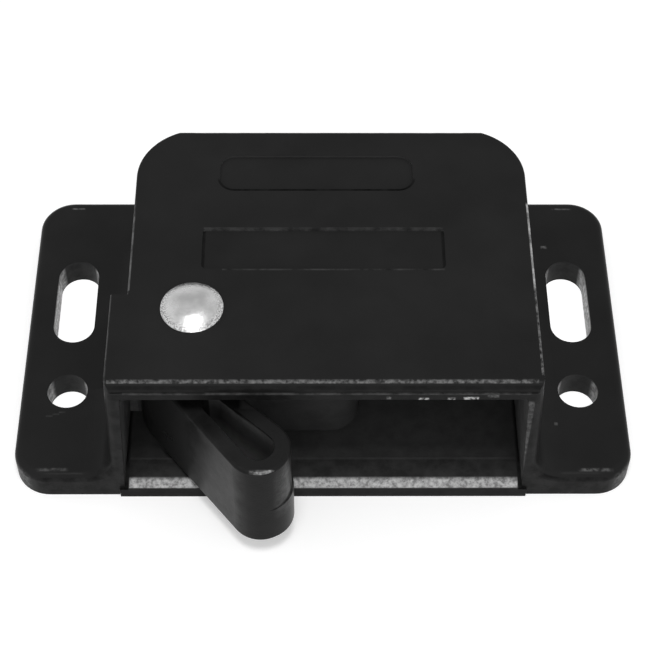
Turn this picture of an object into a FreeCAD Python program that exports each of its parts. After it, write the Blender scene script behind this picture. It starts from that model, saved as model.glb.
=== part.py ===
import FreeCAD, Part
import math
import os
import Sketcher

# Cupboard catch latch: a moulded housing with two screw flanges, and a claw lever that a
# spring holds either open or closed. All sizes are in millimetres. The origin lies midway
# between the two round screw holes on the mounting plane, +X runs to the right along the
# flanges, +Y to the back of the catch and +Z away from the mounting surface.

SIZES = {
    # mounting flange
    "flange_side_width": 12.5,
    "flange_depth": 42.67,
    "flange_thickness": 3.65,
    "flange_corner_radius": 4.25,
    "flange_edge_round": 1.0,
    "screw_from_side": 5.63,
    "screw_hole_radius": 2.44,
    "screw_from_front": 12.35,
    "slot_radius": 2.52,
    "slot_near_centre": 9.82,
    "slot_far_centre": 17.58,
    # housing shell
    "housing_height": 22.35,
    "housing_width": 48.0,
    "housing_draft": 2.8,
    "housing_wall": 1.67,
    "housing_roof": 2.7,
    "housing_back_gap": 5.17,
    "back_corner_radius": 7.5,
    "back_corner_overlap": 0.5,
    "bulge_width": 1.9,
    "bulge_depth": 12.55,
    "foot_fillet_radius": 3.4,
    "lip_round": 0.9,
    "lip_ledge_drop": 1.6,
    "lip_ledge_depth": 0.12,
    "roof_edge_round": 0.3,
    "front_strip_depth": 6.0,
    "front_strip_drop": 0.2,
    # shallow panels on the roof
    "panel_depth": 0.3,
    "front_panel_width": 27.9,
    "front_panel_height": 5.95,
    "front_panel_from_front": 19.22,
    "front_panel_corner": 0.6,
    "rear_panel_width": 22.85,
    "rear_panel_height": 5.3,
    "rear_panel_from_front": 30.95,
    "rear_panel_left_offset": 0.78,
    "rear_panel_corner": 1.8,
    # base plate
    "plate_inset": 0.1,
    "plate_thickness": 1.5,
    "plate_clearance": 0.1,
    "plate_back_gap": 5.0,
    "plate_corner_radius": 1.5,
    "sill_inset": 1.1,
    "sill_overhang": 0.3,
    "sill_face_height": 1.7,
    "sill_height": 2.2,
    "sill_slope_depth": 1.22,
    "sill_depth": 3.7,
    # stakes that hold the plate
    "stake_post_radius": 2.4,
    "stake_pin_radius": 1.2,
    "stake_head_radius": 1.8,
    "stake_head_height": 0.6,
    "stake_recess": 0.2,
    "right_stake_from_side": 6.4,
    "right_stake_from_back": 7.15,
    "middle_stake_x": 0.5,
    "middle_stake_from_back": 4.75,
    # pivot rivet and its washer
    "pivot_from_side": 9.26,
    "pivot_forward": 1.91,
    "rivet_head_radius": 3.53,
    "rivet_head_height": 1.45,
    "rivet_head_edge": 0.35,
    "rivet_shank_radius": 1.8,
    "rivet_roll_radius": 2.75,
    "rivet_roll_height": 0.65,
    "rivet_bore_radius": 1.15,
    "rivet_bore_depth": 3.0,
    "rivet_recess_depth": 1.5,
    "rivet_recess_radius": 3.3,
    "rivet_boss_radius": 5.0,
    "rivet_boss_gap": 0.3,
    "washer_radius": 3.1,
    "washer_thickness": 0.45,
    "running_clearance": 0.05,
    # claw lever
    "lever_above_sill": 0.65,
    "lever_below_roof": 2.5,
    "lever_wall": 1.8,
    "lever_floor": 2.4,
    "lever_edge_round": 0.4,
    "tip_step_width": 0.25,
    "tip_step_angle": 15.0,
    "tip_step_height": 5.9,
    "hub_radius": 5.4,
    "hub_neck_radius": 4.2,
    "hub_neck_gap": 0.3,
    "shoulder_radius": 7.0,
    "shoulder_angle": 176.5,
    "finger_reach": 16.65,
    "finger_angle": 63.1,
    "finger_tip_radius": 3.6,
    "finger_inner_angle": 42.5,
    "finger_pocket_length": 7.5,
    "arm_reach": 15.5,
    "arm_half_width": 3.5,
    "arm_pocket_length": 6.0,
    "throat_radius": 2.5,
    "lever_travel": 48.0,
    # over-centre spring and its guide
    "crank_radius": 6.5,
    "crank_lug_radius": 2.9,
    "crank_pin_radius": 1.25,
    "crank_pin_above_bottom": 1.3,
    "anchor_distance": 22.0,
    "spring_axis_drop": 0.2,
    "spring_radius": 2.75,
    "spring_wire": 0.65,
    "spring_turns": 7.0,
    "spring_end_gap": 0.05,
    "guide_eye_radius": 2.3,
    "guide_eye_height": 5.2,
    "guide_rod_radius": 1.25,
    "guide_rod_length": 17.4,
    "guide_shoulder_radius": 2.5,
    "guide_shoulder_from_pin": 2.1,
    "guide_shoulder_thickness": 0.9,
    "groove_clearance": 0.6,
    "seat_radius": 2.3,
    "seat_height": 5.8,
    "seat_flange_radius": 2.9,
    "seat_flange_from_axis": 2.2,
    "seat_flange_thickness": 1.2,
    "seat_rod_clearance": 0.25,
    "trunnion_radius": 1.5,
    "trunnion_length": 2.8,
    "socket_radius": 3.0,
    "socket_gap": 0.35,
    # post that stops the closed lever
    "stop_post_radius": 1.5,
    "stop_post_along": 15.0,
    "stop_gap": 0.25,
    "stop_post_bottom": 4.5,
}

HALF_TURN = 180
QUARTER_TURN = 90
# How far an edge may lie from a place and still count as lying there.
CLOSE = 0.01

# Places that several pieces share, written as expressions on the sheet.
FRONT = "(-Sizes.screw_from_front)"
FLANGE_HALF = "(Sizes.housing_width / 2 + Sizes.flange_side_width)"
SCREW_X = f"({FLANGE_HALF} - Sizes.screw_from_side)"
PIVOT_X = "(Sizes.pivot_from_side - Sizes.housing_width / 2)"
PIVOT_Y = "(-Sizes.pivot_forward)"
ROOF_UNDERSIDE = "(Sizes.housing_height - Sizes.housing_roof)"
HOUSING_BACK = "(Sizes.flange_depth - Sizes.housing_back_gap - Sizes.screw_from_front)"
PLATE_HALF = "(Sizes.housing_width / 2 - Sizes.plate_inset)"
CAVITY_INSET = "(Sizes.housing_wall - Sizes.housing_roof * tan(Sizes.housing_draft))"
HALF_TRAVEL = "(Sizes.lever_travel / 2)"
CRANK_X = "(Sizes.crank_radius * sin(Sizes.lever_travel / 2))"
CRANK_Y = "(Sizes.crank_radius * cos(Sizes.lever_travel / 2))"
ROD_ANGLE = f"atan({CRANK_X} / (Sizes.anchor_distance - {CRANK_Y}))"
CRANK_TO_ANCHOR = f"sqrt({CRANK_X}^2 + (Sizes.anchor_distance - {CRANK_Y})^2)"
PLATE_TOP = "Sizes.plate_thickness"
PLATE_BACK = "(Sizes.flange_depth - Sizes.plate_back_gap - Sizes.screw_from_front)"
ANCHOR_Y = f"({PIVOT_Y} + Sizes.anchor_distance)"
LEVER_BOTTOM = "(Sizes.sill_height + Sizes.lever_above_sill)"
LEVER_TOP = f"({ROOF_UNDERSIDE} - Sizes.lever_below_roof)"
LEVER_HEIGHT = f"({LEVER_TOP} - {LEVER_BOTTOM})"
PIN_LENGTH = f"({LEVER_HEIGHT} - Sizes.crank_pin_above_bottom)"
SPRING_AXIS = f"(({PLATE_TOP} + {ROOF_UNDERSIDE}) / 2 - Sizes.spring_axis_drop)"

doc = FreeCAD.newDocument("cupboard_catch")
sheet = doc.addObject("Spreadsheet::Sheet", "Sizes")


def fill_sheet():
    """Put each size in its own cell and give the cell its name."""
    for row, (name, value) in enumerate(SIZES.items(), start=1):
        cell = f"A{row}"
        sheet.set(cell, str(value))
        sheet.setAlias(cell, name)
    doc.recompute()


def value_of(expression):
    """The number that an expression on the sheet gives now."""
    result = sheet.evalExpression(str(expression))
    return float(getattr(result, "Value", result))


def new_body(label):
    body = doc.addObject("PartDesign::Body", label)
    body.Label = label
    return body


def sketch_on(body, name, role, height="0", angle=None):
    """A sketch on one of the body's origin planes, lifted along the plane's normal."""
    sketch = body.newObject("Sketcher::SketchObject", name)
    plane = next(item for item in body.Origin.OriginFeatures if item.Role == role)
    sketch.AttachmentSupport = [(plane, "")]
    sketch.MapMode = "FlatFace"
    sketch.setExpression("AttachmentOffset.Base.z", height)
    if angle is not None:
        sketch.setExpression("AttachmentOffset.Rotation.Angle", angle)
    return sketch


def pin_point(sketch, geometry, position, x, y):
    """Hold a point of the sketch at the place that two expressions give."""
    for kind, expression in (("DistanceX", x), ("DistanceY", y)):
        index = sketch.addConstraint(
            Sketcher.Constraint(kind, -1, 1, geometry, position, value_of(expression)))
        sketch.setExpression(f"Constraints[{index}]", expression)


def bind_radius(sketch, geometry, radius):
    index = sketch.addConstraint(Sketcher.Constraint("Radius", geometry, value_of(radius)))
    sketch.setExpression(f"Constraints[{index}]", radius)


def add_circle(sketch, x, y, radius):
    centre = FreeCAD.Vector(value_of(x), value_of(y), 0)
    circle = sketch.addGeometry(
        Part.Circle(centre, FreeCAD.Vector(0, 0, 1), value_of(radius)), False)
    pin_point(sketch, circle, 3, x, y)
    bind_radius(sketch, circle, radius)


def add_stake_circles(sketch, radius):
    """One circle for each of the two stakes that hold the base plate."""
    right_x = "(Sizes.housing_width / 2 - Sizes.right_stake_from_side)"
    add_circle(sketch, right_x, f"{HOUSING_BACK} - Sizes.right_stake_from_back", radius)
    add_circle(sketch, "Sizes.middle_stake_x", f"{HOUSING_BACK} - Sizes.middle_stake_from_back",
               radius)


def add_outline(sketch, corners):
    """A closed outline. A corner is (x, y), or (x, y, radius, turn) where an arc leaves it:
    turn is 1 for a counterclockwise arc and -1 for a clockwise one."""
    start, end = 1, 2
    places = [FreeCAD.Vector(value_of(c[0]), value_of(c[1]), 0) for c in corners]
    heads = []
    tails = []
    for number, corner in enumerate(corners):
        here = places[number]
        there = places[(number + 1) % len(corners)]
        if len(corner) == 2:
            edge = sketch.addGeometry(Part.LineSegment(here, there), False)
            heads.append((edge, start))
            tails.append((edge, end))
            continue
        radius = value_of(corner[2])
        turn = corner[3]
        chord = there - here
        reach = math.sqrt(max(radius ** 2 - (chord.Length / 2) ** 2, 0))
        side = FreeCAD.Vector(-chord.y, chord.x, 0).normalize() * turn
        centre = (here + there) * 0.5 + side * reach
        first, last = (here, there) if turn > 0 else (there, here)
        angles = [math.atan2(p.y - centre.y, p.x - centre.x) for p in (first, last)]
        circle = Part.Circle(centre, FreeCAD.Vector(0, 0, 1), radius)
        edge = sketch.addGeometry(Part.ArcOfCircle(circle, angles[0], angles[1]), False)
        heads.append((edge, start if turn > 0 else end))
        tails.append((edge, end if turn > 0 else start))
    for number, corner in enumerate(corners):
        edge, position = heads[number]
        before, before_position = tails[number - 1]
        sketch.addConstraint(
            Sketcher.Constraint("Coincident", before, before_position, edge, position))
        pin_point(sketch, edge, position, corner[0], corner[1])
    for number, corner in enumerate(corners):
        if len(corner) > 2:
            bind_radius(sketch, heads[number][0], corner[2])


def rectangle(low_x, low_y, high_x, high_y, radius=None):
    """Corners of a rectangle, with round corners where a radius is given."""
    if radius is None:
        return [(low_x, low_y), (high_x, low_y), (high_x, high_y), (low_x, high_y)]
    return [
        (f"{low_x} + {radius}", low_y),
        (f"{high_x} - {radius}", low_y, radius, 1),
        (high_x, f"{low_y} + {radius}"),
        (high_x, f"{high_y} - {radius}", radius, 1),
        (f"{high_x} - {radius}", high_y),
        (f"{low_x} + {radius}", high_y, radius, 1),
        (low_x, f"{high_y} - {radius}"),
        (low_x, f"{low_y} + {radius}", radius, 1),
    ]


def capsule(from_x, length, radius):
    """A strip along the sketch's X with round ends, from from_x on."""
    return [
        (from_x, f"-{radius}"),
        (f"{from_x} + {length}", f"-{radius}", radius, 1),
        (f"{from_x} + {length} + {radius}", "0", radius, 1),
        (f"{from_x} + {length}", radius),
        (from_x, radius, radius, 1),
        (f"{from_x} - {radius}", "0", radius, 1),
    ]


def feature(body, kind, name, sketch):
    made = body.newObject(f"PartDesign::{kind}", name)
    made.Profile = sketch
    return made


def add_pad(body, name, sketch, length, downward=False, taper=None):
    """Grow a pad from the sketch and check that it adds to the body."""
    before = body.Shape.Volume if body.Tip else 0
    pad = feature(body, "Pad", name, sketch)
    pad.setExpression("Length", length)
    pad.Reversed = downward
    if taper is not None:
        pad.setExpression("TaperAngle", taper)
    doc.recompute()
    if body.Shape.Volume <= before:
        raise RuntimeError(f"{name} adds nothing to {body.Label}")
    return pad


def cut_pocket(body, name, sketch, depth=None, upward=False, taper=None):
    """Cut a pocket down from the sketch, or up, and check that it takes something away."""
    before = body.Shape.Volume
    pocket = feature(body, "Pocket", name, sketch)
    if depth is None:
        pocket.Type = "ThroughAll"
    else:
        pocket.setExpression("Length", depth)
    pocket.Reversed = upward
    if taper is not None:
        pocket.setExpression("TaperAngle", taper)
    doc.recompute()
    if body.Shape.Volume >= before:
        raise RuntimeError(f"{name} cuts nothing from {body.Label}")
    return pocket


def revolve(body, name, sketch, axis):
    turned = feature(body, "Revolution", name, sketch)
    turned.ReferenceAxis = (sketch, [axis])
    turned.Angle = 2 * HALF_TURN
    doc.recompute()
    return turned


def round_edges(body, name, radius, wanted):
    """Fillet the edges of the body's last feature for which wanted(edge) is true."""
    base = body.Tip
    names = [f"Edge{number}" for number, edge in enumerate(base.Shape.Edges, start=1)
             if wanted(edge)]
    fillet = body.newObject("PartDesign::Fillet", name)
    fillet.Base = (base, names)
    fillet.setExpression("Radius", radius)
    doc.recompute()
    return fillet


def place(piece, x, y, angle=None):
    piece.setExpression("Placement.Base.x", x)
    piece.setExpression("Placement.Base.y", y)
    if angle is not None:
        piece.setExpression("Placement.Rotation.Angle", angle)


def is_flat_at(edge, height):
    """True where the whole edge lies at one height."""
    box = edge.BoundBox
    return abs(box.ZMin - height) < CLOSE and abs(box.ZMax - height) < CLOSE


def housing_outline(inset, front):
    """The housing seen from above, moved inwards by inset: rounded back corners, and a left
    wall that lies further in than the right one."""
    right = f"(Sizes.housing_width / 2 - {inset})"
    left = f"(Sizes.housing_width / 2 - Sizes.bulge_width - {inset})"
    back = f"({HOUSING_BACK} - {inset})"
    radius = f"(Sizes.back_corner_radius - {inset})"
    drop = f"({radius} - Sizes.back_corner_overlap)"
    shift = f"({radius} - sqrt({radius}^2 - {drop}^2))"
    return [
        (f"-{left}", front),
        (right, front),
        (right, f"{back} - {drop}", radius, 1),
        (f"{right} - {shift}", back),
        (f"-{left} + {shift}", back, radius, 1),
        (f"-{left}", f"{back} - {drop}"),
    ]


def make_housing():
    body = new_body("housing")
    flange = sketch_on(body, "flange_outline", "XY_Plane")
    add_outline(flange, rectangle(
        f"-{FLANGE_HALF}", FRONT, FLANGE_HALF, f"({FRONT} + Sizes.flange_depth)",
        "Sizes.flange_corner_radius"))
    add_pad(body, "flange", flange, "Sizes.flange_thickness")

    ahead = f"({FRONT} - 2 * Sizes.housing_wall)"
    block = sketch_on(body, "shell_outline", "XY_Plane", "Sizes.housing_height")
    add_outline(block, housing_outline("0", ahead))
    add_pad(body, "shell", block, "Sizes.housing_height", downward=True,
            taper="Sizes.housing_draft")

    trim = sketch_on(body, "front_trim_outline", "XY_Plane", "Sizes.housing_height")
    add_outline(trim, rectangle(
        f"-{FLANGE_HALF}", f"({FRONT} - Sizes.flange_depth)", FLANGE_HALF, FRONT))
    cut_pocket(body, "front_trim", trim)
    top = value_of("Sizes.housing_height")
    behind = value_of(FRONT) + CLOSE
    round_edges(body, "roof_rim", "Sizes.roof_edge_round",
                lambda edge: is_flat_at(edge, top) and edge.BoundBox.YMax > behind)
    make_foot_fillets(body)
    make_bulge(body)

    cavity = sketch_on(body, "cavity_outline", "XY_Plane", ROOF_UNDERSIDE)
    add_outline(cavity, housing_outline(CAVITY_INSET, ahead))
    cut_pocket(body, "cavity", cavity, ROOF_UNDERSIDE, taper="Sizes.housing_draft")
    make_bulge_room(body)

    make_flange_details(body)
    make_inner_details(body)
    make_roof_details(body)
    return body


def make_foot_fillets(body):
    """Round the inner corner where the shell stands on the flange."""
    top = value_of("Sizes.flange_thickness")
    left = -value_of("Sizes.housing_width / 2 - Sizes.bulge_width")
    right = value_of("Sizes.housing_width / 2")
    behind = value_of(HOUSING_BACK)
    side = value_of(FLANGE_HALF) - CLOSE
    front = value_of(FRONT) + CLOSE
    back = value_of(f"{FRONT} + Sizes.flange_depth") - CLOSE

    def at_foot(edge):
        box = edge.BoundBox
        beside_shell = box.XMax < left or box.XMin > right or box.YMax > behind
        at_rim = box.XMin < -side or box.XMax > side or box.YMax < front or box.YMax > back
        return is_flat_at(edge, top) and beside_shell and not at_rim

    round_edges(body, "foot_fillet", "Sizes.foot_fillet_radius", at_foot)


def make_bulge(body):
    """The part of the left wall that bulges out beside the pivot, with its own foot."""
    half = "(Sizes.housing_width / 2)"
    top = "Sizes.housing_height"
    base = "Sizes.flange_thickness"
    radius = "Sizes.foot_fillet_radius"
    draft = "Sizes.housing_draft"
    centre_z = f"({base} + {radius})"
    centre_x = f"(-{half} - ({radius} + ({top} - {centre_z}) * sin({draft})) / cos({draft}))"
    rim = "Sizes.roof_edge_round"
    rim_run = f"({rim} / tan(({QUARTER_TURN} + {draft}) / 2))"
    inside = "(-Sizes.housing_width / 2 + 2 * Sizes.bulge_width)"
    section = sketch_on(body, "bulge_section", "XZ_Plane", f"-{FRONT}")
    add_outline(section, [
        (f"-{half} + {rim_run}", top, rim, 1),
        (f"-{half} - {rim_run} * sin({draft})", f"{top} - {rim_run} * cos({draft})"),
        (f"{centre_x} + {radius} * cos({draft})", f"{centre_z} - {radius} * sin({draft})",
         radius, -1),
        (centre_x, base),
        (centre_x, f"{base} / 2"),
        (inside, f"{base} / 2"),
        (inside, top),
    ])
    add_pad(body, "bulge", section, "Sizes.bulge_depth", downward=True)


def make_bulge_room(body):
    """Hollow the bulge out to the same wall as the rest of the shell."""
    roof = ROOF_UNDERSIDE
    edge = f"(Sizes.housing_width / 2 - {CAVITY_INSET})"
    spread = f"({roof} * tan(Sizes.housing_draft))"
    inside = "(-Sizes.housing_width / 2 + Sizes.bulge_width + 2 * Sizes.housing_wall)"
    section = sketch_on(body, "bulge_room_section", "XZ_Plane",
                        f"-{FRONT} - Sizes.bulge_depth + Sizes.housing_wall")
    add_outline(section, [
        (f"-{edge}", roof),
        (f"-{edge} - {spread}", "0"),
        (inside, "0"),
        (inside, roof),
    ])
    cut_pocket(body, "bulge_room", section, upward=True)


def make_flange_details(body):
    """Screw holes, slots and the rounded rim of the flange."""
    holes = sketch_on(body, "screw_hole_outline", "XY_Plane", "Sizes.flange_thickness")
    slot = "Sizes.slot_radius"
    for side in ("-1", "1"):
        across = f"({side} * {SCREW_X})"
        add_circle(holes, across, "0", "Sizes.screw_hole_radius")
        add_outline(holes, [
            (f"{across} - {slot}", "Sizes.slot_near_centre", slot, 1),
            (across, f"Sizes.slot_near_centre - {slot}", slot, 1),
            (f"{across} + {slot}", "Sizes.slot_near_centre"),
            (f"{across} + {slot}", "Sizes.slot_far_centre", slot, 1),
            (across, f"Sizes.slot_far_centre + {slot}", slot, 1),
            (f"{across} - {slot}", "Sizes.slot_far_centre"),
        ])
    cut_pocket(body, "screw_holes", holes)

    top = value_of("Sizes.flange_thickness")
    corner = value_of(f"{FLANGE_HALF} - Sizes.flange_corner_radius") - CLOSE
    widest = "max(Sizes.screw_hole_radius; Sizes.slot_radius)"
    beyond_holes = value_of(f"{SCREW_X} + {widest}") + CLOSE
    front = value_of(FRONT) + CLOSE
    back = value_of(f"{FRONT} + Sizes.flange_depth") - CLOSE

    def at_rim(edge):
        box = edge.BoundBox
        nearest = min(abs(box.XMin), abs(box.XMax))
        furthest = max(abs(box.XMin), abs(box.XMax))
        at_side = nearest > corner and furthest > beyond_holes
        return is_flat_at(edge, top) and (at_side or box.YMax < front or box.YMin > back)

    round_edges(body, "flange_rim", "Sizes.flange_edge_round", at_rim)


def make_inner_details(body):
    """Rebate for the base plate, trunnion socket, stop post and the stakes."""
    rebate = sketch_on(body, "rebate_outline", "XY_Plane", "Sizes.plate_thickness")
    half = f"({PLATE_HALF} + Sizes.plate_clearance)"
    add_outline(rebate, rectangle(
        f"-{half}", f"({FRONT} - Sizes.flange_depth)",
        half, f"({PLATE_BACK} + Sizes.plate_clearance)", "Sizes.plate_corner_radius"))
    cut_pocket(body, "rebate", rebate)

    posts = sketch_on(body, "post_outline", "XY_Plane", ROOF_UNDERSIDE)
    add_stake_circles(posts, "Sizes.stake_post_radius")
    add_pad(body, "stake_posts", posts, f"{ROOF_UNDERSIDE} - {PLATE_TOP}", downward=True)

    pins = sketch_on(body, "stake_outline", "XY_Plane", PLATE_TOP)
    add_stake_circles(pins, "Sizes.stake_pin_radius")
    add_pad(body, "stake_pins", pins, f"{PLATE_TOP} - Sizes.stake_recess", downward=True)

    heads = sketch_on(body, "stake_head_outline", "XY_Plane", "Sizes.stake_recess")
    add_stake_circles(heads, "Sizes.stake_head_radius")
    add_pad(body, "stake_heads", heads, "Sizes.stake_head_height")

    socket = sketch_on(body, "socket_outline", "XY_Plane", ROOF_UNDERSIDE)
    add_circle(socket, PIVOT_X, ANCHOR_Y, "Sizes.socket_radius")
    seat_top = f"({SPRING_AXIS} + Sizes.seat_height / 2 + Sizes.socket_gap)"
    add_pad(body, "socket", socket, f"{ROOF_UNDERSIDE} - {seat_top}", downward=True)
    bore = sketch_on(body, "socket_bore_outline", "XY_Plane", seat_top)
    add_circle(bore, PIVOT_X, ANCHOR_Y,
               "Sizes.trunnion_radius + Sizes.running_clearance")
    cut_pocket(body, "socket_bore", bore, "Sizes.trunnion_length", upward=True)

    closed = "Sizes.lever_travel"
    away = "(Sizes.arm_half_width + Sizes.stop_gap + Sizes.stop_post_radius)"
    stop = sketch_on(body, "stop_outline", "XY_Plane", ROOF_UNDERSIDE)
    add_circle(
        stop,
        f"{PIVOT_X} + Sizes.stop_post_along * cos({closed}) - {away} * sin({closed})",
        f"{PIVOT_Y} + Sizes.stop_post_along * sin({closed}) + {away} * cos({closed})",
        "Sizes.stop_post_radius")
    add_pad(body, "stop_post", stop, f"{ROOF_UNDERSIDE} - Sizes.stop_post_bottom", downward=True)


def make_roof_details(body):
    """Rivet hole, the two shallow panels, and the sloped front strip with its rounded lip."""
    hole = sketch_on(body, "rivet_hole_outline", "XY_Plane", "Sizes.housing_height")
    add_circle(hole, PIVOT_X, PIVOT_Y, "Sizes.rivet_shank_radius + Sizes.running_clearance")
    cut_pocket(body, "rivet_hole", hole, "Sizes.housing_roof")

    panels = sketch_on(body, "panel_outline", "XY_Plane", "Sizes.housing_height")
    centre_y = f"({FRONT} + Sizes.front_panel_from_front)"
    add_outline(panels, rectangle(
        "(-Sizes.front_panel_width / 2)", f"({centre_y} - Sizes.front_panel_height / 2)",
        "(Sizes.front_panel_width / 2)", f"({centre_y} + Sizes.front_panel_height / 2)",
        "Sizes.front_panel_corner"))
    centre_x = "(-Sizes.rear_panel_left_offset)"
    centre_y = f"({FRONT} + Sizes.rear_panel_from_front)"
    add_outline(panels, rectangle(
        f"({centre_x} - Sizes.rear_panel_width / 2)",
        f"({centre_y} - Sizes.rear_panel_height / 2)",
        f"({centre_x} + Sizes.rear_panel_width / 2)",
        f"({centre_y} + Sizes.rear_panel_height / 2)",
        "Sizes.rear_panel_corner"))
    cut_pocket(body, "panels", panels, "Sizes.panel_depth")

    edge_height = "(Sizes.housing_height - Sizes.front_strip_drop)"
    face = f"({FRONT} + Sizes.lip_ledge_depth)"
    ahead = f"{FRONT} - Sizes.housing_wall"
    above = "Sizes.housing_height + Sizes.housing_roof"
    strip = sketch_on(body, "front_strip_outline", "YZ_Plane", FLANGE_HALF)
    add_outline(strip, [
        (ahead, "Sizes.housing_height - Sizes.lip_ledge_drop"),
        (face, "Sizes.housing_height - Sizes.lip_ledge_drop"),
        (face, f"{edge_height} - Sizes.lip_round", "Sizes.lip_round", -1),
        (f"{face} + Sizes.lip_round", edge_height),
        (f"{FRONT} + Sizes.front_strip_depth", "Sizes.housing_height"),
        (f"{FRONT} + Sizes.front_strip_depth", above),
        (ahead, above),
    ])
    cut_pocket(body, "front_strip", strip)


def make_base_plate():
    body = new_body("base_plate")
    back = PLATE_BACK
    front = f"({FRONT} - Sizes.sill_overhang)"
    floor = sketch_on(body, "floor_outline", "XY_Plane")
    add_outline(floor, [
        (f"-{PLATE_HALF}", front),
        (PLATE_HALF, front),
        (PLATE_HALF, f"{back} - Sizes.plate_corner_radius", "Sizes.plate_corner_radius", 1),
        (f"{PLATE_HALF} - Sizes.plate_corner_radius", back),
        (f"-{PLATE_HALF} + Sizes.plate_corner_radius", back, "Sizes.plate_corner_radius", 1),
        (f"-{PLATE_HALF}", f"{back} - Sizes.plate_corner_radius"),
    ])
    add_pad(body, "floor", floor, "Sizes.plate_thickness")

    sill_half = "(Sizes.housing_width / 2 - Sizes.sill_inset)"
    sill = sketch_on(body, "sill_outline", "YZ_Plane", f"-{sill_half}")
    add_outline(sill, [
        (front, "Sizes.plate_thickness / 2"),
        (f"{FRONT} + Sizes.sill_depth", "Sizes.plate_thickness / 2"),
        (f"{FRONT} + Sizes.sill_depth", "Sizes.sill_height"),
        (f"{front} + Sizes.sill_slope_depth", "Sizes.sill_height"),
        (front, "Sizes.sill_face_height"),
    ])
    add_pad(body, "sill", sill, f"2 * {sill_half}")

    bosses = sketch_on(body, "rivet_boss_outline", "XY_Plane", PLATE_TOP)
    add_circle(bosses, PIVOT_X, PIVOT_Y, "Sizes.rivet_boss_radius")
    add_pad(body, "rivet_boss", bosses, f"{LEVER_BOTTOM} - Sizes.rivet_boss_gap - {PLATE_TOP}")

    seat_bottom = f"({SPRING_AXIS} - Sizes.seat_height / 2 - Sizes.socket_gap)"
    socket = sketch_on(body, "socket_outline", "XY_Plane", PLATE_TOP)
    add_circle(socket, PIVOT_X, ANCHOR_Y, "Sizes.socket_radius")
    add_pad(body, "socket", socket, f"{seat_bottom} - {PLATE_TOP}")
    bore = sketch_on(body, "socket_bore_outline", "XY_Plane", seat_bottom)
    add_circle(bore, PIVOT_X, ANCHOR_Y,
               "Sizes.trunnion_radius + Sizes.running_clearance")
    cut_pocket(body, "socket_bore", bore, "Sizes.trunnion_length")

    hole = sketch_on(body, "hole_outline", "XY_Plane", seat_bottom)
    add_circle(hole, PIVOT_X, PIVOT_Y, "Sizes.rivet_shank_radius + Sizes.running_clearance")
    add_stake_circles(hole, "Sizes.stake_pin_radius + Sizes.running_clearance")
    cut_pocket(body, "holes", hole)

    recess = sketch_on(body, "rivet_recess_outline", "XY_Plane")
    add_circle(recess, PIVOT_X, PIVOT_Y, "Sizes.rivet_recess_radius")
    cut_pocket(body, "rivet_recess", recess, "Sizes.rivet_recess_depth", upward=True)

    recess = sketch_on(body, "stake_recess_outline", "XY_Plane")
    add_stake_circles(recess, "Sizes.stake_head_radius + Sizes.plate_clearance")
    cut_pocket(body, "stake_recess", recess,
               "Sizes.stake_recess + Sizes.stake_head_height", upward=True)
    return body


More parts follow.
